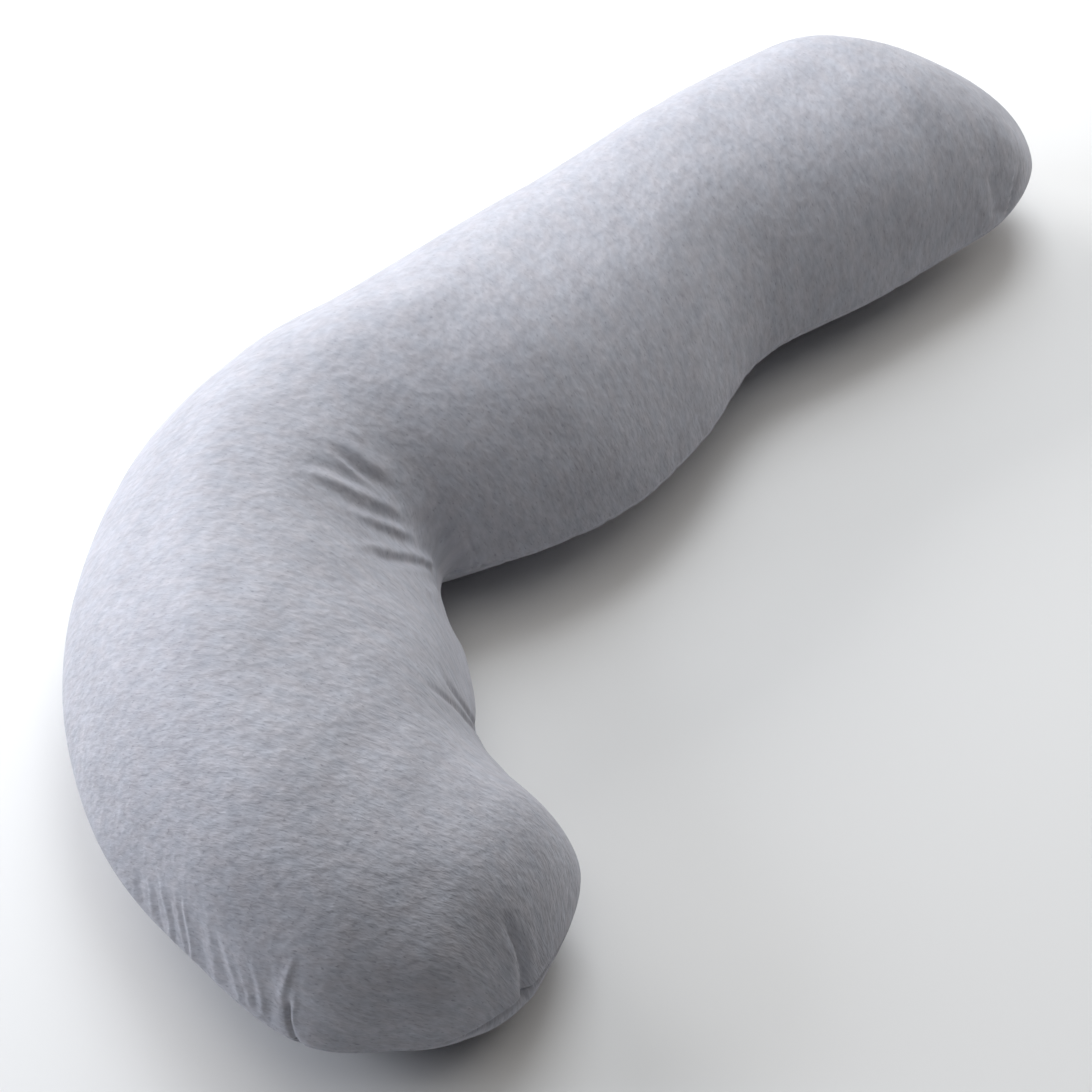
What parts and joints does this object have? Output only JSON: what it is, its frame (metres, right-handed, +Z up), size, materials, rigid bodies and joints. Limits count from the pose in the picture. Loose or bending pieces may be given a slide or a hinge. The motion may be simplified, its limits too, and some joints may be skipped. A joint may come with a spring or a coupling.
{
  "type": "body pillow",
  "caption": "J-shaped body pillow: a long filled arm that bends round into a short hooked foot, two jersey panels joined by one seam round the edge.",
  "frame": {"origin": "on the floor, under the middle of the pillow's box", "axes": "+X along the straight arm to its far end, +Z up from the floor; the hooked foot is at -X and turns towards -Y"},
  "size_m": [1.1854, 0.6456, 0.2136],
  "materials": {
    "jersey": "light grey heathered cotton jersey knit, matt and soft, with fine short streaks of paler and darker yarn across the pillow"
  },
  "bodies": {
    "root": {"pillow": "jersey"}
  },
  "joints": []
}
